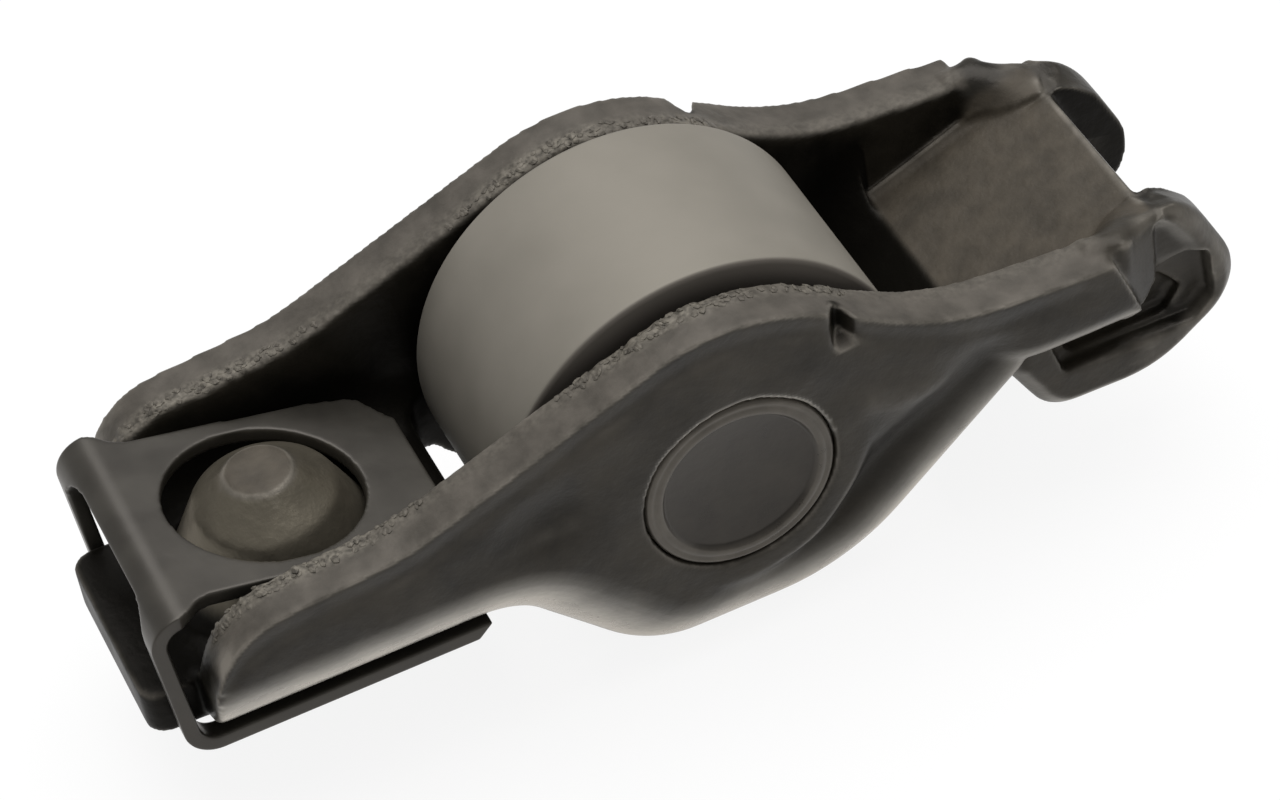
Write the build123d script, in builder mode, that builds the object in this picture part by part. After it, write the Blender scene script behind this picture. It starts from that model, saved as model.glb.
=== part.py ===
from build123d import *
import os
from math import asin, atan2, cos, pi, radians, sin, tan

# Roller finger follower for a valve train: a lever pressed from one thick sheet, a roller on
# a full set of loose needles, the staked axle that carries them, and a spring clip that holds
# the lever on its ball. Millimetres. The origin is the centre of the roller, +X runs along
# the lever's web towards the valve, and +Z is up. The part lies on the flat of its belly.

# Roller, needles and axle
roller_radius = 8.5
roller_width = 9.2
roller_edge = 0.4
needle_radius = 0.75
needle_length = 8.8
running_gap = 0.02
axle_radius = 4.0
stake_radius = 3.2
stake_depth = 0.25

# Sheet of the lever, its folds and its openings
sheet = 2.1
fold_inside = 2.1
side_gap = 0.6
window_side_gap = 0.35
window_end_gap = 0.7
window_corner = 1.0

# Outline of the lever from the side: heights from the roller's axis, lengths from its centre
front = -21.5
web_under = -3.7
belly_drop = 0.56
heel_bend_x = -9.5
belly_left = -4.5
belly_right = 4.8
belly_bends = (3.0, 5.0, 10.0)
toe_rise = 39.0
shell_end = 12.6
crest_drop = 0.6
heel_slope = 21.0
toe_slope = 32.0
heel_knee_x = -13.2
toe_knee_back = 3.6
nose_drop = 5.3
wall_reach = 5.1
wall_end_slant = 1.4
wall_end_drop = 4.9
nose_bend = 3.7
knee_bends = (8.0, 11.0)

# Lip at the pivot end, and the cup for the ball of the lash adjuster
lip_reach = 2.2
lip_half = 4.35
lip_corner = 0.8
cup_back = 5.05
cup_top = 3.25
cup_flat = 1.25
cup_shoulder_radius = 2.85
cup_shoulder_drop = 1.4
cup_base_radius = 4.5
ball_radius = 3.5

# Valve end: end walls, pad over the valve stem, and the two guide lugs with their necks
end_wall_under = -0.6
end_wall_fold = 1.4
end_wall_lap = 3.15
pad_back = 1.3
pad_height = -0.45
pad_slope = 22.0
pad_length = 8.4
stem_slot = 7.0
lug_bends = (3.4, 2.6, 5.0, 1.8, 0.8)
lug_edge = 0.6
lug_floor = 0.7
shelf_depth = 0.8
neck_reach = 1.8
neck_lap = 0.8
neck_half = 6.4
neck_flare = 0.3
neck_edge = 0.3

# Outlines of the lug and of its pocket's shelf and slot, from the start of the pad
lug_outline = ((5.9, 3.95), (9.5, 3.1), (11.9, -1.9), (7.5, -4.95), (2.7, -4.85), (1.0, -1.85), (1.2, 0.05))
shelf_outline = ((2.6, -0.25), (3.3, -2.65), (9.2, -2.65), (10.05, -1.85), (9.9, 0.65), (8.5, 0.65), (6.5, -0.25))
slot_outline = ((3.2, -0.25), (3.8, -2.45), (8.3, -2.45), (9.0, -1.45), (8.0, -0.25))

# Forming nick on the crest of each wall
nick_x = 4.9
nick_radius = 0.45
nick_under = 4.7

# Spring clip
clip_sheet = 0.65
clip_stand = 1.65
clip_rake = 0.5
clip_roller_gap = 1.75
clip_lift = 2.1
clip_slope = 12.6
clip_top_bend = 1.9
clip_foot_bend = 1.4
clip_hole = 3.8
clip_gap = 0.2
clip_leg = 0.95
clip_skirt = 2.9
clip_shoulder_lift = 2.6
clip_neck_lift = 3.9
clip_neck_gap = 0.45
clip_neck_length = 1.75
clip_waist_gap = 0.65
clip_waist_start = 3.25
clip_waist_end = 2.75
clip_tip_half = 2.7
clip_tip_shoulder = 4.1
clip_tip_length = 0.95
prong_gap = 1.3

# Lengths closer than this count as the same
hair = 0.01

# Worked out from the sizes above
half_inside = roller_width / 2 + side_gap
half_outside = half_inside + sheet
fold_outside = fold_inside + sheet
window_half = roller_width / 2 + window_side_gap
window_end = roller_radius + window_end_gap
web_top = web_under + sheet
belly_under = -(roller_radius + belly_drop)
crest_radius = roller_radius - crest_drop
nose_height = crest_radius - nose_drop
wall_end_height = crest_radius - wall_end_drop
heel_fall = atan2(web_under - belly_under, belly_left - heel_bend_x)
wall_end = shell_end + wall_reach
toe_knee_x = shell_end - toe_knee_back
lip_end = front - lip_reach
cup_x = front + cup_back
ball_height = cup_top - sheet - ball_radius
pad_start = (shell_end - pad_back, pad_height)
clear = 2 * roller_radius


def wall_top(x, slope):
    """Height of the straight flank that leaves the round crest at this slope."""
    return (crest_radius - abs(x) * sin(radians(slope))) / cos(radians(slope))


def shelf(x):
    """Height of the wall's top between the toe knee and the wall's end."""
    knee = wall_top(toe_knee_x, toe_slope)
    return knee + (wall_end_height - knee) * (x - toe_knee_x) / (wall_end - toe_knee_x)


def low_edges(body, ceiling, half):
    """The lengthways edges of a body's two side faces whose middle is below the ceiling."""
    found = ShapeList()
    for edge in body.edges():
        start, middle, end = (edge @ t for t in (0, 0.5, 1))
        on_side = abs(abs(start.Y) - half) < hair and abs(start.Y - end.Y) < hair
        if on_side and abs(start.X - end.X) > hair and middle.Z < ceiling:
            found.append(edge)
    return found


# The channel: outer form of web, belly and both walls, with its rounded fold
apex_reach = crest_radius / cos(radians(heel_slope + toe_slope) / 2)
apex_turn = radians(toe_slope - heel_slope) / 2
crest_apex = (apex_reach * sin(apex_turn), apex_reach * cos(apex_turn))
toe_under = belly_under + (shell_end - belly_right) * tan(radians(toe_rise))

with BuildPart() as channel:
    with BuildSketch(Plane.XZ):
        with BuildLine():
            FilletPolyline(
                (front, web_under),
                (front, nose_height),
                (heel_knee_x, wall_top(heel_knee_x, heel_slope)),
                crest_apex,
                (toe_knee_x, wall_top(toe_knee_x, toe_slope)),
                (shell_end, shelf(shell_end)),
                radius=(nose_bend, knee_bends[0], crest_radius, knee_bends[1]),
            )
            Line((shell_end, shelf(shell_end)), (shell_end, toe_under))
            FilletPolyline(
                (shell_end, toe_under),
                (belly_right, belly_under),
                (belly_left, belly_under),
                (heel_bend_x, web_under),
                (front, web_under),
                radius=(belly_bends[2], belly_bends[1], belly_bends[0]),
            )
        make_face()
    extrude(amount=half_outside, both=True)
    fillet(low_edges(channel.part, web_top, half_outside), fold_outside)

# End walls: the channel's walls run on beside the pad, on a tighter fold
end_wall_start = shell_end - end_wall_lap
wall_top_end = wall_end - wall_end_slant
with BuildPart() as end_walls:
    with BuildSketch(Plane.XZ):
        with BuildLine():
            Polyline(
                (end_wall_start, end_wall_under),
                (wall_end, end_wall_under),
                (wall_top_end, shelf(wall_top_end)),
                (end_wall_start, shelf(end_wall_start)),
                close=True,
            )
        make_face()
    extrude(amount=half_outside, both=True)
    fillet(low_edges(end_walls.part, 0, half_outside), end_wall_fold)


def beside_pad(outline):
    """Points of an outline that is drawn from the start of the pad."""
    return [(pad_start[0] + x, pad_start[1] + z) for x, z in outline]


# Pad: the web's tongue over the valve stem
pad_run = (cos(radians(pad_slope)), sin(radians(pad_slope)))
pad_end = (pad_start[0] + pad_length * pad_run[0], pad_start[1] + pad_length * pad_run[1])
pad_under_start = (pad_start[0] + sheet * pad_run[1], pad_start[1] - sheet * pad_run[0])
pad_under_end = (pad_end[0] + sheet * pad_run[1], pad_end[1] - sheet * pad_run[0])
with BuildPart() as pad:
    with BuildSketch(Plane.XZ):
        with BuildLine():
            Polyline(pad_start, pad_end, pad_under_end, pad_under_start, close=True)
        make_face()
    extrude(amount=half_inside, both=True)

# Guide lug: a rounded plate beside the valve stem. It is made at -Y and mirrored.
lug_corners = beside_pad(lug_outline)
lug_top = lug_corners[0][1]
lug_outside = stem_slot / 2 + sheet
with BuildPart() as lug:
    with BuildSketch(Plane.XZ.offset(stem_slot / 2)):
        with BuildLine():
            FilletPolyline(*lug_corners, radius=lug_bends)
            Line(lug_corners[-1], lug_corners[0])
        make_face()
    extrude(amount=sheet)
    outer_face = lug.faces().sort_by(Axis.Y)[0]
    chamfer(outer_face.edges().sort_by(SortBy.LENGTH)[:-1], lug_edge)

# Neck: where the wall is set inwards to the lug, leaving a slit behind the wall's end
neck_end = wall_top_end + neck_reach
with BuildPart() as neck:
    with BuildSketch(Plane.XY.offset(end_wall_under)):
        with BuildLine():
            Polyline(
                (wall_top_end - neck_lap, -half_inside),
                (neck_end + lug_edge, lug_edge - half_inside),
                (neck_end + 2 * lug_edge, -lug_outside),
                (neck_end + neck_flare, -lug_outside - neck_flare),
                (wall_top_end + neck_lap, -neck_half - neck_flare),
                (wall_top_end, -neck_half),
                (wall_top_end - neck_lap, -neck_half),
                close=True,
            )
        make_face()
    extrude(amount=lug_top - end_wall_under)
    chamfer(neck.faces().sort_by(Axis.Z)[-1].edges(), neck_edge)

# Pocket in the outer face of each lug: a shallow shelf, and a deeper slot to the lug's floor
with BuildPart() as pocket:
    for outline, floor in ((shelf_outline, sheet - shelf_depth), (slot_outline, lug_floor)):
        with BuildSketch(Plane.XZ.offset(stem_slot / 2 + floor)):
            with BuildLine():
                Polyline(*beside_pad(outline), close=True)
            make_face()
        extrude(amount=sheet)

# Cup over the ball of the lash adjuster, drawn up from the web
with BuildPart() as cup:
    with BuildSketch(Plane.XZ):
        with BuildLine():
            Polyline(
                (cup_x, web_under),
                (cup_x, cup_top),
                (cup_x + cup_flat, cup_top),
                (cup_x + cup_shoulder_radius, cup_top - cup_shoulder_drop),
                (cup_x + cup_base_radius, web_top),
                (cup_x + cup_base_radius, web_under),
                close=True,
            )
        make_face()
    revolve(axis=Axis((cup_x, 0, 0), (0, 0, 1)))

# Space inside the channel: over the web and between the walls
with BuildPart() as hollow:
    with BuildSketch(Plane.XZ):
        with BuildLine():
            FilletPolyline(
                (lip_end - sheet, web_top),
                (heel_bend_x + sheet * tan(heel_fall / 2), web_top),
                (belly_left + sheet * tan(heel_fall / 2), belly_under + sheet),
                (belly_right - sheet * tan(radians(toe_rise) / 2), belly_under + sheet),
                pad_start,
                radius=(belly_bends[0] + sheet, belly_bends[1] - sheet, belly_bends[2] - sheet),
            )
            Polyline(pad_start, (pad_start[0], clear), (lip_end - sheet, clear), (lip_end - sheet, web_top))
        make_face()
    extrude(amount=half_inside, both=True)
    fillet(low_edges(hollow.part, pad_start[1], half_inside), fold_inside)

# The finished lever
past_pad = (pad_end[0] + pad_run[0] * sheet, pad_end[1] + pad_run[1] * sheet)
past_pad_under = (pad_under_end[0] + pad_run[0] * sheet, pad_under_end[1] + pad_run[1] * sheet)
with BuildPart() as arm:
    add(channel.part)
    add(end_walls.part)
    add(hollow.part, mode=Mode.SUBTRACT)
    add(pad.part)
    add(lug.part)
    add(mirror(lug.part, about=Plane.XZ, mode=Mode.PRIVATE))
    add(cup.part)
    # lip
    with BuildSketch(Plane.XY.offset(web_under)):
        with BuildLine():
            FilletPolyline(
                (front + sheet, -lip_half),
                (lip_end, -lip_half),
                (lip_end, lip_half),
                (front + sheet, lip_half),
                radius=lip_corner,
            )
            Line((front + sheet, lip_half), (front + sheet, -lip_half))
        make_face()
    extrude(amount=sheet)
    # space over the pad, between the end walls
    with BuildSketch(Plane.XZ):
        with BuildLine():
            Polyline(pad_start, past_pad, (past_pad[0], clear), (pad_start[0], clear), close=True)
        make_face()
    extrude(amount=half_inside, both=True, mode=Mode.SUBTRACT)
    add(neck.part)
    add(mirror(neck.part, about=Plane.XZ, mode=Mode.PRIVATE))
    # slot for the valve stem, under the pad
    with BuildSketch(Plane.XZ):
        with BuildLine():
            Polyline(
                pad_under_start,
                past_pad_under,
                (past_pad_under[0], -clear),
                (pad_under_start[0], -clear),
                close=True,
            )
        make_face()
    extrude(amount=stem_slot / 2, both=True, mode=Mode.SUBTRACT)
    add(pocket.part, mode=Mode.SUBTRACT)
    add(mirror(pocket.part, about=Plane.XZ, mode=Mode.PRIVATE), mode=Mode.SUBTRACT)
    # window for the roller
    with BuildSketch(Plane.XY.offset(-clear)):
        RectangleRounded(2 * window_end, 2 * window_half, window_corner)
    extrude(amount=clear, mode=Mode.SUBTRACT)
    # seat for the ball, with straight sides under it
    with BuildSketch(Plane.XZ):
        with BuildLine():
            CenterArc((cup_x, ball_height), ball_radius, 0, 90)
            Polyline(
                (cup_x + ball_radius, ball_height),
                (cup_x + ball_radius, web_under),
                (cup_x, web_under),
                (cup_x, ball_height + ball_radius),
            )
        make_face()
    revolve(axis=Axis((cup_x, 0, 0), (0, 0, 1)), mode=Mode.SUBTRACT)
    # bores for the axle
    with BuildSketch(Plane.XZ):
        Circle(axle_radius)
    extrude(amount=2 * half_outside, both=True, mode=Mode.SUBTRACT)
    # forming nicks
    with BuildSketch(Plane.XY.offset(nick_under)):
        with Locations((nick_x, half_outside), (nick_x, -half_outside)):
            Circle(nick_radius)
    extrude(amount=roller_radius, mode=Mode.SUBTRACT)
arm.part.label = "arm"

# Axle: pressed through both walls, its ends staked out into the bores
with BuildPart() as axle:
    with BuildSketch(Plane.XZ):
        Circle(axle_radius)
    extrude(amount=half_outside, both=True)
    for end in (-1, 1):
        with BuildSketch(Plane.XZ.offset(end * half_outside)):
            Circle(stake_radius)
        extrude(amount=-end * stake_depth, mode=Mode.SUBTRACT)
axle.part.label = "axle"

# Roller: hardened ring, ground outside, riding on the needles
needle_pitch = axle_radius + running_gap + needle_radius
with BuildPart() as roller:
    with BuildSketch(Plane.XZ):
        Circle(roller_radius)
        Circle(needle_pitch + needle_radius + running_gap, mode=Mode.SUBTRACT)
    extrude(amount=roller_width / 2, both=True)
    outer_rims = roller.edges().filter_by(GeomType.CIRCLE).filter_by(lambda e: e.radius > roller_radius - hair)
    chamfer(outer_rims, roller_edge)
roller.part.label = "roller"

# Clip: one strip of spring steel, bent round the lever's lip and back under its web
clip_front = front - clip_stand
clip_end = -(roller_radius + clip_roller_gap)
clip_end_height = web_top + clip_lift
clip_crown = clip_end_height + (clip_end - clip_front) * tan(radians(clip_slope))
clip_foot = web_under - clip_sheet
clip_foot_x = clip_front + clip_rake
prong_end = heel_bend_x - prong_gap
leg_inside = lip_half + clip_gap
leg_outside = leg_inside + clip_leg
clip_neck = half_inside - clip_neck_gap
clip_waist = half_inside - clip_waist_gap
plate_side = (
    (clip_front + clip_sheet, half_outside),
    (clip_front + clip_sheet, clip_neck),
    (clip_front + clip_neck_length, clip_neck),
    (clip_front + clip_waist_start, clip_waist),
    (clip_end - clip_waist_end, clip_waist),
    (clip_end - clip_tip_length, clip_tip_shoulder),
    (clip_end, clip_tip_half),
    (clip_end + sheet, clip_tip_half),
    (clip_end + sheet, half_outside),
)
front_side = (
    (leg_outside, web_top + clip_shoulder_lift),
    (clip_neck, web_top + clip_neck_lift),
    (clip_neck, clear),
    (half_outside, clear),
    (half_outside, web_top + clip_shoulder_lift),
)
with BuildPart() as clip:
    with BuildSketch(Plane.XZ):
        with BuildLine():
            FilletPolyline(
                (clip_end, clip_end_height),
                (clip_front, clip_crown),
                (clip_foot_x, clip_foot),
                (prong_end, clip_foot),
                radius=(clip_top_bend, clip_foot_bend),
            )
            offset(amount=clip_sheet, side=Side.LEFT)
        make_face()
    extrude(amount=leg_outside, both=True)
    # sides of the top plate, and its hole over the cup
    with BuildSketch(Plane.XY.offset(web_top)):
        for side in (-1, 1):
            with BuildLine():
                Polyline(*[(x, side * y) for x, y in plate_side], close=True)
            make_face()
        with Locations((cup_x, 0)):
            Circle(clip_hole)
    extrude(amount=clear, mode=Mode.SUBTRACT)
    # shoulders of the front: the legs stand wider than the plate
    with BuildSketch(Plane.YZ.offset(clip_front - clip_sheet)):
        for side in (-1, 1):
            with BuildLine():
                Polyline(*[(side * y, z) for y, z in front_side], close=True)
            make_face()
    extrude(amount=clip_stand, mode=Mode.SUBTRACT)
    # gap for the lip between the legs, and for the ball between the prongs
    with BuildSketch(Plane.XZ):
        with BuildLine():
            Polyline(
                (clip_front - sheet, web_top + clip_skirt),
                (front, web_top + clip_skirt),
                (front, web_under),
                (prong_end + sheet, web_under),
                (prong_end + sheet, clip_foot - sheet),
                (clip_front - sheet, clip_foot - sheet),
                close=True,
            )
        make_face()
    extrude(amount=leg_inside, both=True, mode=Mode.SUBTRACT)
clip.part.label = "clip"

os.makedirs("parts", exist_ok=True)
export_step(arm.part, "parts/arm.step")
export_step(axle.part, "parts/axle.step")
export_step(roller.part, "parts/roller.step")
export_step(clip.part, "parts/clip.step")

# Needles: as many as fill the track
needle_count = int(pi / asin(needle_radius / needle_pitch))
for number in range(1, needle_count + 1):
    name = f"needle_{number:02d}"
    with BuildPart() as needle:
        with BuildSketch(Plane.XZ):
            with PolarLocations(needle_pitch, 1, start_angle=360 * number / needle_count):
                Circle(needle_radius)
        extrude(amount=needle_length / 2, both=True)
    needle.part.label = name
    export_step(needle.part, f"parts/{name}.step")
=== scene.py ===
import math
import bmesh
import bpy
import numpy as np
from mathutils import Matrix, Vector, noise


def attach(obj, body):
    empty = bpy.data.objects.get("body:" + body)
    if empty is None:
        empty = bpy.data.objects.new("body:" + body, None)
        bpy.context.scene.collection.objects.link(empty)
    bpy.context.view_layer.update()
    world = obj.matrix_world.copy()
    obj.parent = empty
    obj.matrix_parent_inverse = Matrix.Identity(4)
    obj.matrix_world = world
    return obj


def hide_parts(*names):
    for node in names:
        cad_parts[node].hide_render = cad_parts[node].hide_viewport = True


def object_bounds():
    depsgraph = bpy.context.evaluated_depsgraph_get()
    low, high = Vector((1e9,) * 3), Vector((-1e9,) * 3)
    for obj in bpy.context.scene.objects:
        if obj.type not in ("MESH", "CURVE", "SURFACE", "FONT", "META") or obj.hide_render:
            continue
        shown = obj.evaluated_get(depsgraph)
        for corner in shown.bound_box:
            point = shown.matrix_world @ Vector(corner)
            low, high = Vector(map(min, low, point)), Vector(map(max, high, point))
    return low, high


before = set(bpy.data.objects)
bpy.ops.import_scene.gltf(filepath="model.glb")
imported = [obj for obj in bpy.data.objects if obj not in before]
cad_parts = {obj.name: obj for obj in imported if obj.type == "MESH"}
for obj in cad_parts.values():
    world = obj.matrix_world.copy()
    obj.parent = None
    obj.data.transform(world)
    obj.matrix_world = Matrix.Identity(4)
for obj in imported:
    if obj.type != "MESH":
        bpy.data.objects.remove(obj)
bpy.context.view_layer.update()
mm = 0.001

# LEVER
# One thick steel sheet, blanked, drawn into a channel and folded up into two walls, with the
# cup and the valve pad pressed in it. It is case-hardened and comes out of the oil nearly black.
# The press rounds every bend, and the blanking tool leaves the tops of the walls bare and torn.
voxel = 0.14 * mm
edge_softening = 4
neck_smoothing = 110
wall_end_smoothing = 35
lever_faces = 180000
pad_start = 11.3
pad_foot = -0.45
pad_slope = 0.404
pad_end = 18.95
cup_x = -16.45
seat_radius = 1.38
wall_inside = 5.2


def new_object(name, data):
    """An object that holds this data, put in the scene."""
    piece = bpy.data.objects.new(name, data)
    bpy.context.scene.collection.objects.link(piece)
    return piece


def merged_copy(node, name):
    """A new object with a CAD node's mesh, its loose triangles joined up."""
    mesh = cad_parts[node].data.copy()
    mesh.materials.clear()
    work = bmesh.new()
    work.from_mesh(mesh)
    bmesh.ops.remove_doubles(work, verts=work.verts, dist=0.001 * mm)
    work.to_mesh(mesh)
    work.free()
    mesh.name = name
    return new_object(name, mesh)


def bake_modifiers(piece):
    """Turns a piece's modifiers into plain mesh."""
    bpy.context.view_layer.update()
    evaluated = piece.evaluated_get(bpy.context.evaluated_depsgraph_get())
    mesh = bpy.data.meshes.new_from_object(evaluated)
    piece.modifiers.clear()
    piece.data = mesh
    mesh.polygons.foreach_set("use_smooth", [True] * len(mesh.polygons))


def remeshed(piece, size):
    """Gives a piece small even faces, which can be softened and dented."""
    remesh = piece.modifiers.new("even faces", "REMESH")
    remesh.mode = "VOXEL"
    remesh.voxel_size = size
    bake_modifiers(piece)


def fill_between(mesh, low, high):
    """Adds to a mesh a closed block between two rings with as many points each."""
    work = bmesh.new()
    work.from_mesh(mesh)
    below = [work.verts.new(Vector(p) * mm) for p in low]
    above = [work.verts.new(Vector(p) * mm) for p in high]
    faces = [work.faces.new(below), work.faces.new(above)]
    for k in range(len(low)):
        faces.append(work.faces.new((below[k - 1], below[k], above[k], above[k - 1])))
    bmesh.ops.recalc_face_normals(work, faces=faces)
    work.to_mesh(mesh)
    work.free()


def points_of(mesh):
    """The corners of a mesh as an array."""
    flat = np.empty(3 * len(mesh.vertices))
    mesh.vertices.foreach_get("co", flat)
    return flat.reshape(-1, 3)


def normals_of(mesh):
    """The normals at the corners of a mesh as an array."""
    flat = np.empty(3 * len(mesh.vertices))
    mesh.vertex_normals.foreach_get("vector", flat)
    return flat.reshape(-1, 3)


def relaxed(mesh, values, steps):
    """Values at the corners of a mesh, each drawn towards the mean of its neighbours."""
    ends = np.empty(2 * len(mesh.edges), dtype=np.int64)
    mesh.edges.foreach_get("vertices", ends)
    a, b = ends.reshape(-1, 2).T
    count = len(mesh.vertices)
    links = np.bincount(a, minlength=count) + np.bincount(b, minlength=count)
    for step in range(steps):
        total = np.zeros_like(values)
        np.add.at(total, a, values[b])
        np.add.at(total, b, values[a])
        mean = total / (links[:, None] if values.ndim > 1 else links)
        values = 0.5 * (values + mean)
    return values


def put_points(mesh, points):
    """Moves the corners of a mesh."""
    mesh.vertices.foreach_set("co", points.ravel())
    mesh.update()


def put_attribute(mesh, name, values):
    """Keeps one number for each corner of a mesh, for its material."""
    layer = mesh.attributes.new(name, "FLOAT", "POINT")
    layer.data.foreach_set("value", np.asarray(values, dtype=np.float32))


def rise(value, low, high):
    """0 below low and 1 above high, with a soft climb between them."""
    t = np.clip((value - low) / (high - low), 0, 1)
    return t * t * (3 - 2 * t)


def crest_above(x, z, chosen, step):
    """Height of the highest of the chosen corners at each corner's x."""
    slot = np.floor((x - x.min()) / step).astype(int)
    crest = np.full(slot.max() + 1, -np.inf)
    np.maximum.at(crest, slot[chosen], z[chosen])
    known = np.isfinite(crest)
    middles = x.min() + step * (np.arange(len(crest)) + 0.5)
    return np.interp(x, middles[known], crest[known])


def far_from(x, z, path):
    """Distance in the side view from each corner to a bent line."""
    nearest = np.full(len(x), np.inf)
    for (x0, z0), (x1, z1) in zip(path, path[1:]):
        run, climb = x1 - x0, z1 - z0
        along = np.clip(((x - x0) * run + (z - z0) * climb) / (run * run + climb * climb), 0, 1)
        nearest = np.minimum(nearest, np.hypot(x - x0 - along * run, z - z0 - along * climb))
    return nearest


def hump(distance, width):
    """1 at no distance, falling softly to nothing past the width."""
    return np.exp(-((distance / width) ** 2))


def rough(points, chosen, size, seed):
    """Noise from about -1 to 1 at the chosen corners, 0 at the others."""
    value = np.zeros(len(points))
    offset = Vector((seed, 2 * seed, 3 * seed))
    for k in np.flatnonzero(chosen):
        value[k] = noise.noise(Vector(points[k]) / size + offset)
    return value


def within(x, z, outline):
    """Whether each corner lies inside a closed outline in the side view."""
    inside = np.zeros(len(x), dtype=bool)
    for (x0, z0), (x1, z1) in zip(outline, outline[1:] + outline[:1]):
        crosses = (z0 > z) != (z1 > z)
        inside ^= crosses & (x < x0 + (z - z0) * (x1 - x0) / (z1 - z0 if z1 != z0 else 1))
    return inside


def pad_height(x):
    """Height of the valve pad's top, which climbs towards the valve."""
    return pad_foot + pad_slope * (x - pad_start)


# The neck between each wall and its lug is solid metal, down into the pad
lever = merged_copy("arm", "lever_body")
neck_foot = ((15.2, 5.4), (16.3, 4.4), (17.7, 3.8), (18.9, 3.6), (19.3, 5.4))
neck_brow = ((15.6, 5.6), (16.9, 5.0), (17.9, 3.9), (18.9, 3.6), (19.3, 5.4))
neck_top = 2.95
neck_depth = 0.4
for way in (-1, 1):
    fill_between(
        lever.data,
        [(px, way * py, pad_height(px) - neck_depth) for px, py in neck_foot],
        [(px, way * py, neck_top) for px, py in neck_brow],
    )
remeshed(lever, voxel)
form = lever.data
points = points_of(form) / mm
x, y, z = points.T
across = np.abs(y)
side = np.sign(y)

# The pocket in the lug's outer face leaves a thin rim all round
pocket = [(16.7, 1.0), (17.7, 2.85), (18.6, 2.8), (19.7, 2.3)]
pocket += [(20.6, 1.0), (21.15, -0.4), (21.2, -1.6), (20.7, -2.75)]
pocket += [(19.5, -3.3), (17.5, -3.4), (15.9, -3.2), (14.8, -2.6)]
pocket += [(14.2, -1.8), (14.4, -0.7), (16.9, -0.7)]
rim_gap = far_from(x, z, pocket + pocket[:1])
lug_skin = (across < 5.75) * (across > 4.9) * (x > 14)
sunk = within(x, z, pocket) * rise(rim_gap, 0.0, 0.45) * lug_skin
pocket_floor = np.interp(z, (-0.6, 0.4), (4.85, wall_inside))
y -= side * sunk * np.maximum(across - pocket_floor, 0)

points = relaxed(form, np.column_stack((x, y, z)), edge_softening)
x, y, z = points.T
across = np.abs(y)
put_points(form, points * mm)
# Painted reflection of the white floor: the undersides of the folds are coloured light grey, less
# in the hollows and towards the valve end
under_fold = rise(-normals_of(form)[:, 2], 0.03, 0.5) * rise(across, 4.6, 5.8)
under_fold *= 1 - 0.5 * rise(x, 8.5, 12)
past_pocket = far_from(x, z, pocket) * np.where(within(x, z, pocket), -1, 1)
lug_rim = rise(x, 17.6, 18.4) * rise(across, 4.9, 5.3) * rise(past_pocket, -0.1, 0.2)
on_wall = rise(across, 4.95, 5.15)
crest = crest_above(x, z, across > 6.0, 0.25)
under_crest = crest - z
outside = rise(across, 6.2, 7.0)

# The dies leave a flat collar round the bore, a dent before it and a trough behind it
trough_path = ((-0.2, -4.0), (2.3, -4.6), (5.1, -3.2), (7.0, -1.8), (8.8, -0.9), (10.7, 0.3))
facet_path = ((5.6, 1.3), (7.0, 0.8), (8.6, 0.6))
streak_path = ((4.7, 1.6), (4.75, -1.2))
trough_depth, facet_height, streak_height = 0.8, 0.1, 0.07
collar_edge, collar_end = 4.9, 5.9
dent_x, dent_z, dent_depth, dent_width = -7.6, 1.9, 0.45, 1.5
bulge_x, bulge_z, bulge_height, bulge_width = -5.2, 2.7, 0.06, 0.9
nick_x, nick_depth, nick_width = 4.95, 0.4, 0.33
collar = rise(np.hypot(x, z), collar_edge, collar_end)
dent = dent_depth * hump(np.hypot((x - dent_x) / 1.25, z - dent_z), dent_width)
dent -= bulge_height * hump(np.hypot(x - bulge_x, z - bulge_z), bulge_width)
trough = trough_depth * hump(far_from(x, z, trough_path), 1.4)
facet = -facet_height * hump(far_from(x, z, facet_path), 0.6)
streak = -streak_height * hump(far_from(x, z, streak_path), 0.35)
hammered = 0.08 * rough(points, outside > 0, 2.2, 4.0)
sunk = collar * (dent + trough + facet + streak) + hammered
# The hollows of the trough and dent are painted darker as shade further on, and the raised facets
# lighter as highlight
hollow = collar * outside * np.clip((trough + 1.2 * dent) / trough_depth, 0, 1)
high = collar * outside * np.clip(-facet / facet_height - streak / streak_height, 0, 1)
flare = 0.07 * hump(under_crest, 0.35) - 0.09 * hump(under_crest - 1.0, 0.45)
nick = hump(x - nick_x, nick_width) * rise(z, 4.5, 4.9) * rise(across, 6.2, 6.7)
y -= side * outside * (sunk * rise(under_crest, 0.4, 1.4) - flare * rise(-x, -15.5, -14.5))
y -= side * nick_depth * nick

# The valve pad runs up into the walls on a small radius, and the lugs' tops lean inwards
over_pad = rise(x, 11.2, 11.6) * (1 - rise(x, 18.9, 19.2)) * (1 - on_wall)
over_pad *= rise(z - pad_height(x), -0.3, -0.1)
over_pad *= 1 - rise(z - pad_height(x), 0.7, 1.3)
z += over_pad * 0.35 * rise(across, 4.3, wall_inside) ** 2 * (1 - rise(x, 16.0, 17.5))
lean = 0.3 * np.clip((across - 4.55) / 1.05, -1, 1) * rise(x, 17.6, 18.6)
z += lean * rise(z, 1.0, 2.6) * rise(across, 3.3, 3.8)
ceiling = np.interp(x, (16.0, 17.0, 17.6, 18.5, 19.3, 20.4), (3.6, 3.5, 3.36, 3.1, 3.05, 2.8))
ceiling += 0.25 * np.clip(across - 5.4, -1, 0.2)
z += np.minimum(ceiling - z, 0) * rise(x, 16.2, 16.6)

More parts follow.
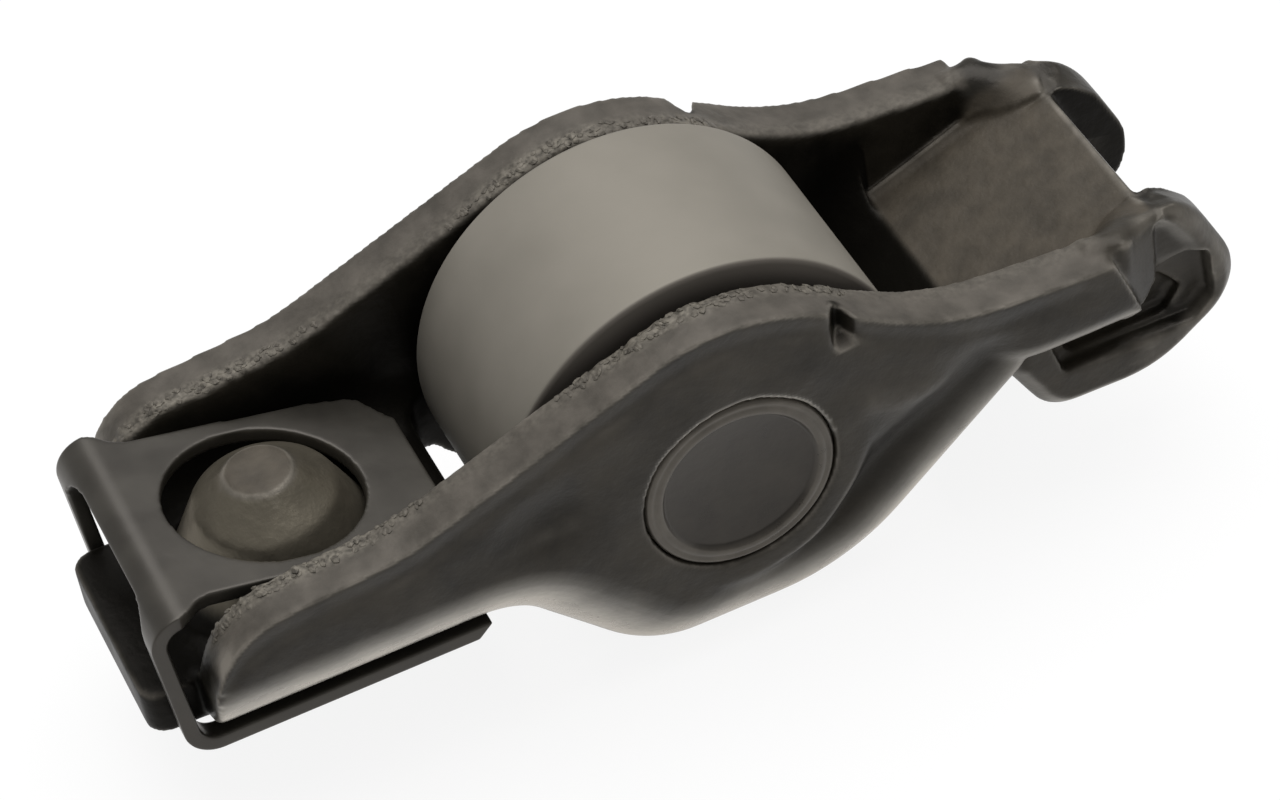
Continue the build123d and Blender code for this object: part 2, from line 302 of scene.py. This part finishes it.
# The metal runs smoothly from each wall's end over the pad's corner into the lug
points = np.column_stack((x, y, z))
neck = rise(x, 15.6, 16.4) * (1 - rise(x, 19.6, 20.6)) * rise(across, 3.3, 3.7)
neck_in, neck_out = (np.interp(x, (17.3, 17.6), ends) for ends in ((5.5, 6.2), (5.7, 6.5)))
neck *= 1 - rise(across, neck_in, neck_out)
neck *= rise(z - pad_height(x), 0.05, 0.4) * rise(z, 0.4, 1.6)
points += neck[:, None] * (relaxed(form, points, neck_smoothing) - points)
wall_end = rise(x, 15.4, 16.2) * (1 - rise(x, 18.2, 19.2)) * rise(across, 4.6, 5.0)
wall_end = wall_end * (1 - rise(across, 6.2, 6.6)) * rise(z, 1.4, 2.2)
points += wall_end[:, None] * (relaxed(form, points, wall_end_smoothing) - points)

# The blank's edge: smooth where the punch sheared it, broken open on its inner side
points = relaxed(form, points, 1)
x, y, z = points.T
put_points(form, points * mm)
normals = normals_of(form)
up = normals[:, 2]
sheared = on_wall * rise(up, 0.35, 0.7) * rise(z, 0.6, 1.2) * rise(-x, -16.6, -16.0)
inward = rise(-side * normals[:, 1], 0.35, 0.7)
ragged = np.clip(0.25 + hump(x + 17.0, 3.5) + hump(x + 1.5, 3.0) + 0.6 * hump(x - 4.5, 1.0), 0, 1)
torn = sheared * (1 - rise(across, 5.65, 6.35)) * ragged
pitted = rough(points, torn > 0.05, 0.4, 1.0) + 0.7 * rough(points, torn > 0.05, 0.9, 2.0)
points += normals * (0.09 * torn * pitted)[:, None]
put_points(form, points * mm)
curve_in = np.sum((relaxed(form, points, 3) - points) * normals, axis=1)
put_attribute(form, "sheared", sheared)
put_attribute(form, "torn", torn)
# Painted highlight mixed with edge wear: convex edges, a thin line along each wall's outer top
# edge, the rims of the seat, the pad's end and the lug, and the raised facets are coloured lighter
outer_line = on_wall * hump(up - 0.5, 0.22) * rise(across, 6.3, 6.7) * rise(z, 0.6, 1.2)
outer_line *= 1.0 + 0.6 * rough(points, outer_line > 0.05, 1.3, 7.0)
from_cup = np.hypot(x - cup_x, y)
seat_rim = 1.3 * hump(from_cup - seat_radius, 0.09) * rise(z, 0, 0.5)
pad_rim = 0.8 * hump(x - pad_end, 0.16) * rise(z - pad_height(x), -0.4, -0.2)
pad_rim *= 1 - rise(across, 4.2, 4.6)
edge_wear_and_highlight = rise(-curve_in, 0.008, 0.035) + outer_line + seat_rim + pad_rim + 0.45 * lug_rim + 0.2 * high
put_attribute(form, "edge_wear_and_highlight", np.clip(edge_wear_and_highlight, 0, 1))
put_attribute(form, "painted_floor_reflection", under_fold * (1 - 0.85 * hollow))
put_attribute(form, "seat", (1 - rise(from_cup, 1.25, 1.4)) * rise(z, 0, 0.5))
on_cup = (1 - rise(from_cup, 3.9, 4.4)) * rise(z, -1.5, -0.9)
put_attribute(form, "pad", over_pad)
put_attribute(form, "cup", on_cup)
# Painted shade: the inner faces below the wall tops, the web before the pad, the lug's inner faces,
# the nick and the wall's hollows are coloured near black with little gloss
inner = rise(5.45 - across, 0, 0.2) * rise(crest - z, 0.3, 1.2) * (1 - over_pad)
inner = inner * (1 - on_cup) * (x < 11.6)
inner += inward * rise(x, 19.1, 19.4) * (across < wall_inside)
put_attribute(form, "painted_shade", np.clip(inner + nick + 0.6 * hollow, 0, 1))
thinned = lever.modifiers.new("fewer faces on the flats", "DECIMATE")
thinned.ratio = min(1, lever_faces / (2 * len(form.polygons)))
bake_modifiers(lever)
form = lever.data


def new_material(name):
    """A material with its shader, and its nodes and links to add to."""
    material = bpy.data.materials.new(name)
    material.use_nodes = True
    tree = material.node_tree
    return material, tree.nodes, tree.links, tree.nodes["Principled BSDF"]


def object_noise(nodes, links, size, detail=4.0, roughness=0.5):
    """Noise whose lumps are about this size on the object."""
    place = nodes.new("ShaderNodeTexCoord")
    mapping = nodes.new("ShaderNodeMapping")
    mapping.inputs["Scale"].default_value = [1 / size] * 3
    pattern = nodes.new("ShaderNodeTexNoise")
    pattern.inputs["Scale"].default_value = 1.0
    pattern.inputs["Detail"].default_value = detail
    pattern.inputs["Roughness"].default_value = roughness
    links.new(place.outputs["Object"], mapping.inputs["Vector"])
    links.new(mapping.outputs["Vector"], pattern.inputs["Vector"])
    return pattern.outputs["Fac"]


def ramped(nodes, links, value, low, high, at_low, at_high):
    """Carries a value from one number or colour at low to another at high."""
    span = nodes.new("ShaderNodeMapRange")
    links.new(value, span.inputs["Value"])
    span.inputs["From Min"].default_value = low
    span.inputs["From Max"].default_value = high
    if not isinstance(at_low, tuple):
        span.inputs["To Min"].default_value = at_low
        span.inputs["To Max"].default_value = at_high
        return span.outputs["Result"]
    return blended(nodes, links, span.outputs["Result"], at_low, at_high)


def varied(nodes, links, pattern, first, second):
    """Carries noise from one number or colour to another over most of its span."""
    return ramped(nodes, links, pattern, 0.3, 0.7, first, second)


def blended(nodes, links, share, first, second):
    """Mixes two colours, each a value or a socket, by a share."""
    mix = nodes.new("ShaderNodeMix")
    mix.data_type = "RGBA"
    links.new(share, mix.inputs["Factor"])
    for socket, colour in ((mix.inputs[6], first), (mix.inputs[7], second)):
        if isinstance(colour, tuple):
            socket.default_value = (*colour, 1)
        else:
            links.new(colour, socket)
    return mix.outputs[2]


def worked(nodes, links, operation, first, second):
    """One sum on two values, each a number or a socket."""
    node = nodes.new("ShaderNodeMath")
    node.operation = operation
    for socket, value in zip(node.inputs, (first, second)):
        if isinstance(value, (int, float)):
            socket.default_value = value
        else:
            links.new(value, socket)
    return node.outputs["Value"]


def attribute(nodes, name):
    """A number kept at the corners of the mesh."""
    node = nodes.new("ShaderNodeAttribute")
    node.attribute_name = name
    return node.outputs["Fac"]


def bumped(nodes, links, shader, height, depth, under=None):
    """Adds a bump of this depth to the shader, over an earlier one."""
    bump = nodes.new("ShaderNodeBump")
    bump.inputs["Distance"].default_value = depth
    bump.inputs["Strength"].default_value = 1.0
    links.new(height, bump.inputs["Height"])
    if under:
        links.new(under, bump.inputs["Normal"])
    links.new(bump.outputs["Normal"], shader.inputs["Normal"])
    return bump.outputs["Normal"]


warm_gloss = (1, 0.93, 0.85, 1)
black_steel, nodes, links, shader = new_material("oil-blackened steel")
mottle = object_noise(nodes, links, 3.5 * mm, detail=6, roughness=0.62)
cloud = object_noise(nodes, links, 1.1 * mm, detail=4)
grain = object_noise(nodes, links, 0.24 * mm, detail=4)
skin = ramped(nodes, links, mottle, 0.32, 0.68, (0.004, 0.0036, 0.0026), (0.0285, 0.0245, 0.018))
bare = varied(nodes, links, cloud, (0.046, 0.041, 0.034), (0.088, 0.078, 0.066))
broken = ramped(nodes, links, grain, 0.35, 0.65, (0.05, 0.045, 0.037), (0.16, 0.145, 0.12))
edge = ramped(nodes, links, cloud, 0.35, 0.65, (0.1, 0.092, 0.078), (0.22, 0.2, 0.172))
brown = varied(nodes, links, cloud, (0.034, 0.0285, 0.021), (0.06, 0.05, 0.037))
cast = varied(nodes, links, mottle, (0.1, 0.089, 0.068), (0.155, 0.138, 0.106))
colour = blended(nodes, links, attribute(nodes, "sheared"), skin, bare)
colour = blended(nodes, links, attribute(nodes, "pad"), colour, brown)
colour = blended(nodes, links, attribute(nodes, "cup"), colour, cast)
colour = blended(nodes, links, attribute(nodes, "seat"), colour, brown)
uneven = varied(nodes, links, mottle, 0.6, 1.0)
# Painted floor reflection on the fold undersides: a light grey colour, with more metal and less
# roughness
painted_floor_reflection = worked(nodes, links, "MULTIPLY", attribute(nodes, "painted_floor_reflection"), uneven)
colour = blended(nodes, links, painted_floor_reflection, colour, (0.46, 0.44, 0.4))
# Painted shade, near black
colour = blended(nodes, links, attribute(nodes, "painted_shade"), colour, (0.005, 0.0045, 0.0035))
# Edge wear and painted highlight carry the colour towards the light edge colour
edge_wear_and_highlight_share = worked(nodes, links, "MULTIPLY", attribute(nodes, "edge_wear_and_highlight"), 0.75)
colour = blended(nodes, links, edge_wear_and_highlight_share, colour, edge)
colour = blended(nodes, links, attribute(nodes, "torn"), colour, broken)
links.new(colour, shader.inputs["Base Color"])
rubbed = worked(nodes, links, "MAXIMUM", attribute(nodes, "sheared"), attribute(nodes, "pad"))
rubbed = worked(nodes, links, "MAXIMUM", rubbed, attribute(nodes, "seat"))
gloss = varied(nodes, links, mottle, 0.34, 0.46)
smoother = worked(nodes, links, "MULTIPLY", attribute(nodes, "painted_floor_reflection"), 0.14)
gloss = worked(nodes, links, "SUBTRACT", gloss, smoother)
gloss = worked(nodes, links, "ADD", gloss, worked(nodes, links, "MULTIPLY", rubbed, 0.14))
links.new(gloss, shader.inputs["Roughness"])
bright = worked(nodes, links, "SUBTRACT", attribute(nodes, "cup"), attribute(nodes, "seat"))
bright = worked(nodes, links, "MAXIMUM", bright, painted_floor_reflection)
metal = worked(nodes, links, "ADD", 0.05, worked(nodes, links, "MULTIPLY", bright, 0.65))
links.new(metal, shader.inputs["Metallic"])
shader.inputs["Specular Tint"].default_value = warm_gloss
shine = ramped(nodes, links, attribute(nodes, "painted_shade"), 0.0, 1.0, 0.31, 0.08)
links.new(shine, shader.inputs["Specular IOR Level"])
shader.inputs["IOR"].default_value = 1.5
fine = bumped(nodes, links, shader, grain, 0.012 * mm)
bumped(nodes, links, shader, cloud, 0.06 * mm, fine)
form.materials.append(black_steel)
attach(lever, "lever")
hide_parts("arm")


def set_inputs(modifier, group, values):
    """Gives the named inputs of a Geometry Nodes modifier their values."""
    for item in group.interface.items_tree:
        if item.item_type == "SOCKET" and item.in_out == "INPUT" and item.name in values:
            modifier[item.identifier] = values[item.name]


# Flat burrs lie on the edge where the metal tore
burrs_per_square_metre = 1.4e7
burr_size = 0.17 * mm
burr_seed = 3
least_torn = 0.35
burr_nodes = bpy.data.node_groups.new("burrs", "GeometryNodeTree")
sockets = burr_nodes.interface
for label, kind in (
    ("Geometry", "Geometry"),
    ("Burrs per square metre", "Float"),
    ("Burr size", "Float"),
    ("Seed", "Int"),
    ("Material", "Material"),
):
    sockets.new_socket(label, in_out="INPUT", socket_type="NodeSocket" + kind)
sockets.new_socket("Geometry", in_out="OUTPUT", socket_type="NodeSocketGeometry")
given = burr_nodes.nodes.new("NodeGroupInput")
result = burr_nodes.nodes.new("NodeGroupOutput")
scatter = burr_nodes.nodes.new("GeometryNodeDistributePointsOnFaces")
flake = burr_nodes.nodes.new("GeometryNodeMeshIcoSphere")
placed = burr_nodes.nodes.new("GeometryNodeInstanceOnPoints")
real = burr_nodes.nodes.new("GeometryNodeRealizeInstances")
coated = burr_nodes.nodes.new("GeometryNodeSetMaterial")
scaled = burr_nodes.nodes.new("FunctionNodeRandomValue")
scaled.data_type = "FLOAT_VECTOR"
scaled.inputs["Min"].default_value = (0.5, 0.4, 0.15)
scaled.inputs["Max"].default_value = (1.5, 1.1, 0.5)
flake.inputs["Subdivisions"].default_value = 1
wires = burr_nodes.links
wires.new(given.outputs["Geometry"], scatter.inputs["Mesh"])
wires.new(given.outputs["Burrs per square metre"], scatter.inputs["Density"])
wires.new(given.outputs["Seed"], scatter.inputs["Seed"])
wires.new(given.outputs["Seed"], scaled.inputs["Seed"])
wires.new(given.outputs["Burr size"], flake.inputs["Radius"])
wires.new(scatter.outputs["Points"], placed.inputs["Points"])
wires.new(flake.outputs["Mesh"], placed.inputs["Instance"])
wires.new(scatter.outputs["Rotation"], placed.inputs["Rotation"])
wires.new(scaled.outputs["Value"], placed.inputs["Scale"])
wires.new(placed.outputs["Instances"], real.inputs["Geometry"])
wires.new(real.outputs["Geometry"], coated.inputs["Geometry"])
wires.new(given.outputs["Material"], coated.inputs["Material"])
wires.new(coated.outputs["Geometry"], result.inputs["Geometry"])

torn_at = np.empty(len(form.vertices), dtype=np.float32)
form.attributes["torn"].data.foreach_get("value", torn_at)
work = bmesh.new()
work.from_mesh(form)
whole = [corner for corner in work.verts if torn_at[corner.index] < least_torn]
bmesh.ops.delete(work, geom=whole, context="VERTS")
patch = bpy.data.meshes.new("lever_burrs")
work.to_mesh(patch)
work.free()
burrs = new_object("lever_burrs", patch)
growth = burrs.modifiers.new("burrs", "NODES")
growth.node_group = burr_nodes
set_inputs(
    growth,
    burr_nodes,
    {
        "Burrs per square metre": burrs_per_square_metre,
        "Burr size": burr_size,
        "Seed": burr_seed,
        "Material": black_steel,
    },
)
bake_modifiers(burrs)
burrs.data.polygons.foreach_set("use_smooth", [False] * len(burrs.data.polygons))
put_attribute(burrs.data, "torn", np.ones(len(burrs.data.vertices)))
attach(burrs, "lever")

# AXLE
# A plain hardened pin through both walls. Its ends are staked: a punch turns a ring of metal
# outwards into the bore, which leaves a bright ring round a shallow round sink.
axle_radius = 4.0
axle_half = 7.3
sink_edge = 3.15 * mm
ring_edge = 3.3 * mm


def turned(name, outline, sides=192):
    """A body of revolution about the cross axis, from (radius, place along the axis) points."""
    mesh = bpy.data.meshes.new(name)
    work = bmesh.new()
    rings = []
    for radius, along in outline:
        if radius == 0:
            rings.append([work.verts.new((0, along, 0))])
            continue
        turns = [2 * math.pi * k / sides for k in range(sides)]
        circle = [(radius * math.cos(t), along, radius * math.sin(t)) for t in turns]
        rings.append([work.verts.new(place) for place in circle])
    for ring, following in zip(rings, rings[1:]):
        for k in range(sides):
            corners = [ring[k % len(ring)], ring[(k + 1) % sides % len(ring)]]
            corners += [following[(k + 1) % sides % len(following)], following[k % len(following)]]
            work.faces.new(list(dict.fromkeys(corners)))
    if outline[0] == outline[-1]:
        bmesh.ops.remove_doubles(work, verts=work.verts, dist=0.0001 * mm)
    bmesh.ops.recalc_face_normals(work, faces=work.faces)
    for edge in work.edges:
        edge.smooth = edge.calc_face_angle(0) < math.radians(50)
    work.to_mesh(mesh)
    work.free()
    mesh.polygons.foreach_set("use_smooth", [True] * len(mesh.polygons))
    return new_object(name, mesh)


end_outline = (
    (0, 0.27),
    (3.05, 0.25),
    (3.17, 0.2),
    (3.24, 0.06),
    (3.32, 0.0),
    (3.5, 0.0),
    (3.57, 0.05),
    (3.64, 0.06),
    (3.72, 0.02),
    (3.8, 0.02),
    (3.9, 0.09),
    (3.94, 0.2),
    (axle_radius, 0.34),
)
near_end = [(radius * mm, depth * mm - axle_half * mm) for radius, depth in end_outline]
far_end = [(radius, -along) for radius, along in reversed(near_end)]
axle = turned("axle_pin", near_end + far_end)
pin_steel, nodes, links, shader = new_material("blackened pin steel")
mottle = object_noise(nodes, links, 1.6 * mm, detail=6, roughness=0.6)
place = nodes.new("ShaderNodeTexCoord")
flat = nodes.new("ShaderNodeVectorMath")
flat.operation = "MULTIPLY"
flat.inputs[1].default_value = (1, 0, 1)
radius = nodes.new("ShaderNodeVectorMath")
radius.operation = "LENGTH"
links.new(place.outputs["Object"], flat.inputs[0])
links.new(flat.outputs["Vector"], radius.inputs[0])
on_ring = ramped(nodes, links, radius.outputs["Value"], sink_edge, ring_edge, 0.0, 1.0)
sink = varied(nodes, links, mottle, (0.011, 0.0095, 0.008), (0.024, 0.021, 0.017))
ring_skin = varied(nodes, links, mottle, (0.045, 0.04, 0.033), (0.085, 0.076, 0.063))
links.new(blended(nodes, links, on_ring, sink, ring_skin), shader.inputs["Base Color"])
links.new(varied(nodes, links, mottle, 0.26, 0.38), shader.inputs["Roughness"])
shader.inputs["Metallic"].default_value = 0.25
shader.inputs["Specular Tint"].default_value = warm_gloss
bumped(nodes, links, shader, mottle, 0.03 * mm)
axle.data.materials.append(pin_steel)
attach(axle, "lever")
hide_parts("axle")

# NEEDLES
# A full set of loose ground rollers between the axle and the cam roller. Only slivers of their
# ends show, in the gap beside the walls.
needle_steel, nodes, links, shader = new_material("ground needle steel")
scratches = object_noise(nodes, links, 0.5 * mm, detail=3)
steel = varied(nodes, links, scratches, (0.32, 0.31, 0.29), (0.46, 0.44, 0.41))
links.new(steel, shader.inputs["Base Color"])
links.new(varied(nodes, links, scratches, 0.22, 0.32), shader.inputs["Roughness"])
shader.inputs["Metallic"].default_value = 1.0
for name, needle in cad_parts.items():
    if name.startswith("needle"):
        for slot in needle.material_slots:
            slot.material = needle_steel

# CAM ROLLER
# A ring of hardened bearing steel that the cam lobe runs on. Its rim is ground round and round
# to a satin face, and its edges have a small turned radius.
roller_radius = 8.5 * mm
roller_half = 4.6 * mm
roller_bore = 5.54 * mm
rim_radius = 0.25 * mm
bore_chamfer = 0.25 * mm
end_band = (0.16 * mm, 0.06 * mm)

rim_at = (roller_radius - rim_radius, roller_half - rim_radius)
quarter = [math.pi / 2 * k / 5 for k in range(6)]
outline = [
    (rim_at[0] + rim_radius * math.cos(t), rim_at[1] + rim_radius * math.sin(t)) for t in quarter
]
outline += [(roller_bore + bore_chamfer, roller_half), (roller_bore, roller_half - bore_chamfer)]
ring = outline + [(radius, -along) for radius, along in reversed(outline)]
roller = turned("cam_roller", ring + ring[:1], sides=256)
ground_steel, nodes, links, shader = new_material("ground bearing steel")
cloud = object_noise(nodes, links, 2.4 * mm, detail=6)
tone = varied(nodes, links, cloud, (0.212, 0.196, 0.166), (0.236, 0.218, 0.186))
place = nodes.new("ShaderNodeTexCoord")
parts = nodes.new("ShaderNodeSeparateXYZ")
links.new(place.outputs["Object"], parts.inputs["Vector"])
reach = worked(nodes, links, "ABSOLUTE", parts.outputs["Y"], 0)
end_from, end_to = (roller_half - band for band in end_band)
end_face = ramped(nodes, links, reach, end_from, end_to, 0.0, 1.0)
links.new(blended(nodes, links, end_face, tone, (0.1, 0.088, 0.075)), shader.inputs["Base Color"])
satin = varied(nodes, links, cloud, 0.62, 0.68)
satin = worked(nodes, links, "ADD", satin, worked(nodes, links, "MULTIPLY", end_face, 0.1))
links.new(satin, shader.inputs["Roughness"])
metal = worked(nodes, links, "SUBTRACT", 0.45, worked(nodes, links, "MULTIPLY", end_face, 0.25))
links.new(metal, shader.inputs["Metallic"])
shader.inputs["Specular IOR Level"].default_value = 0.3
roller.data.materials.append(ground_steel)
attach(roller, "cam_wheel")
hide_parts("roller")

# SPRING CLIP
# A strip of thin spring steel, blanked with a round hole that clears the cup, and bent twice:
# round the lip at the lever's nose and back under the web, where its two prongs grip the ball.
clip_sheet = 0.65
blank_end = 31.5
half_width = 5.5
plate = [(0, 2.6), (0.3, 3.0), (0.95, 4.1), (1.4, 4.3), (2.75, 4.5), (6.4, 4.6)]
plate += [(10.2, 4.65), (10.7, 4.8), (11.3, 5.3), (11.7, half_width)]
opening = [(blank_end, 4.55), (14.4, 4.55), (13.8, 4.42), (13.3, 4.1), (13.0, 3.6), (12.85, 3.0)]
hole_at, hole_radius, hole_stretch = 6.35, 3.8, 1.025
path = ((-10.25, 0.5), (-23.15, 3.38), (-22.65, -4.35), (-10.5, -4.35))
bends = (1.4, 1.4)
prongs_from, prong_chamfer = 25, 0.7


def flat_blank(name, outlines, thickness):
    """A flat sheet with these closed outlines, its top at no height."""
    curve = bpy.data.curves.new(name, "CURVE")
    curve.dimensions = "2D"
    curve.fill_mode = "BOTH"
    curve.extrude = thickness / 2
    for outline in outlines:
        spline = curve.splines.new("POLY")
        spline.points.add(len(outline) - 1)
        for point, (u, v) in zip(spline.points, outline):
            point.co = (u, v, -thickness / 2, 1)
        spline.use_cyclic_u = True
    drawn = new_object(name, curve)
    bpy.context.view_layer.update()
    evaluated = drawn.evaluated_get(bpy.context.evaluated_depsgraph_get())
    mesh = bpy.data.meshes.new_from_object(evaluated)
    bpy.data.objects.remove(drawn)
    return new_object(name, mesh)


def bent_along(along, over, path, bends):
    """Carries points of a flat sheet, by run and height, onto a path with rounded bends."""
    x, z = np.zeros(len(along)), np.zeros(len(along))
    start = 0.0
    spent = 0.0
    for k in range(len(path) - 1):
        leg = Vector(path[k + 1]) - Vector(path[k])
        way = leg.normalized()
        out = Vector((-way.y, way.x)) * -1
        turn = 0.0
        cut = 0.0
        if k < len(bends):
            turn = way.angle(Vector(path[k + 2]) - Vector(path[k + 1]))
            cut = bends[k] * math.tan(turn / 2)
        straight = leg.length - spent - cut
        last = k == len(path) - 2
        on = (along >= start) & ((along < start + straight) | last)
        on |= (k == 0) & (along < 0)
        foot = Vector(path[k]) + way * spent
        run = along - start
        x[on] = foot.x + way.x * run[on] + out.x * over[on]
        z[on] = foot.y + way.y * run[on] + out.y * over[on]
        if not last:
            corner = foot + way * straight
            centre = corner - out * bends[k]
            on = (along >= start + straight) & (along < start + straight + bends[k] * turn)
            angle = (along[on] - start - straight) / bends[k]
            reach = bends[k] + over[on]
            x[on] = centre.x + reach * (out.x * np.cos(angle) + way.x * np.sin(angle))
            z[on] = centre.y + reach * (out.y * np.cos(angle) + way.y * np.sin(angle))
        start += straight + bends[k] * turn if not last else 0
        spent = cut
    return x, z


round_hole = [
    (hole_at + hole_radius * hole_stretch * math.cos(t), hole_radius * math.sin(t))
    for t in np.linspace(0, 2 * math.pi, 97)[:-1]
]
half_outline = plate + [(blank_end, half_width)] + opening
whole_outline = half_outline + [(u, -v) for u, v in reversed(half_outline)]
outlines = [[(u * mm, v * mm) for u, v in line] for line in (whole_outline, round_hole)]
clip = flat_blank("spring_clip", outlines, clip_sheet * mm)
remeshed(clip, 0.1 * mm)
form = clip.data
along, y, over = relaxed(form, points_of(form) / mm, 3).T
slant = prong_chamfer * rise(along, prongs_from, blank_end) * (-over / clip_sheet - 0.5)
along = np.where(along > prongs_from, along + slant, along)
x, z = bent_along(along, over, path, bends)
points = np.column_stack((x, y, z)) * mm
put_points(form, points)
normals = normals_of(form)
curve_in = np.sum((relaxed(form, points, 5) - points) * normals, axis=1)
# Convex edges are coloured lighter: edge wear and painted highlight
put_attribute(form, "edge_wear_and_highlight", rise(-curve_in, 0.004 * mm, 0.02 * mm))
spring_steel, nodes, links, shader = new_material("oiled spring steel")
mottle = object_noise(nodes, links, 2.2 * mm, detail=5)
skin = varied(nodes, links, mottle, (0.022, 0.02, 0.0165), (0.038, 0.035, 0.029))
share = worked(nodes, links, "MULTIPLY", attribute(nodes, "edge_wear_and_highlight"), 0.4)
links.new(blended(nodes, links, share, skin, (0.16, 0.15, 0.135)), shader.inputs["Base Color"])
links.new(varied(nodes, links, mottle, 0.3, 0.38), shader.inputs["Roughness"])
shader.inputs["Metallic"].default_value = 0.15
shader.inputs["Specular Tint"].default_value = (1, 0.93, 0.86, 1)
bumped(nodes, links, shader, mottle, 0.02 * mm)
form.materials.append(spring_steel)
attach(clip, "lever")
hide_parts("clip")

# STUDIO
# A white floor under one soft overhead lamp in an even room, and a long lens that looks down
# on the lever from beside the clip.
floor_size = 4.0
floor_glow = 0.88
room_light = 0.45
floor_mesh = bpy.data.meshes.new("floor")
half = floor_size / 2
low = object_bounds()[0][2]
corners = [(-half, -half, low), (half, -half, low), (half, half, low), (-half, half, low)]
floor_mesh.from_pydata(corners, [], [(0, 1, 2, 3)])
floor = new_object("floor", floor_mesh)
paper, nodes, links, shader = new_material("white paper")
shader.inputs["Base Color"].default_value = (0.92, 0.92, 0.92, 1)
shader.inputs["Roughness"].default_value = 0.9
rays = nodes.new("ShaderNodeLightPath")
glow = nodes.new("ShaderNodeEmission")
mix = nodes.new("ShaderNodeMixShader")
seen = worked(nodes, links, "MAXIMUM", rays.outputs["Is Camera Ray"], rays.outputs["Is Glossy Ray"])
seen = worked(nodes, links, "MAXIMUM", seen, rays.outputs["Is Transmission Ray"])
links.new(worked(nodes, links, "MULTIPLY", seen, floor_glow), mix.inputs["Fac"])
links.new(shader.outputs["BSDF"], mix.inputs[1])
links.new(glow.outputs["Emission"], mix.inputs[2])
links.new(mix.outputs["Shader"], nodes["Material Output"].inputs["Surface"])
floor_mesh.materials.append(paper)

world = bpy.data.worlds.new("studio")
bpy.context.scene.world = world
world.use_nodes = True
world.node_tree.nodes["Background"].inputs["Color"].default_value = (1, 1, 1, 1)
world.node_tree.nodes["Background"].inputs["Strength"].default_value = room_light


def soft_lamp(name, place, size, power):
    """A square lamp, in metres and watts, that faces the object."""
    data = bpy.data.lights.new(name, "AREA")
    data.size = size
    data.energy = power
    lamp = new_object(name, data)
    lamp.location = place
    lamp.rotation_euler = (-Vector(place)).to_track_quat("-Z", "Y").to_euler()


soft_lamp("overhead", (0.1, 0.15, 0.6), 0.7, 5.0)

azimuth = math.radians(-17.605)
elevation = math.radians(44.004)
roll = math.radians(9.904)
distance = 172.68 * mm
aim_right = 0.845 * mm
aim_up = 1.221 * mm
lens_angle = 16.427
back = Vector(
    (
        math.sin(azimuth) * math.cos(elevation),
        -math.cos(azimuth) * math.cos(elevation),
        math.sin(elevation),
    )
)
level = Vector((math.cos(azimuth), math.sin(azimuth), 0))
upright = back.cross(level)
right = math.cos(roll) * level - math.sin(roll) * upright
top = math.sin(roll) * level + math.cos(roll) * upright
lens = bpy.data.cameras.new("camera")
lens.sensor_width = 36.0
lens.angle = math.radians(lens_angle)
camera = new_object("camera", lens)
place = distance * back - aim_right * right - aim_up * top
camera.matrix_world = Matrix.Translation(place) @ Matrix((right, top, back)).transposed().to_4x4()
bpy.context.scene.camera = camera
bpy.context.scene.view_settings.view_transform = "Standard"
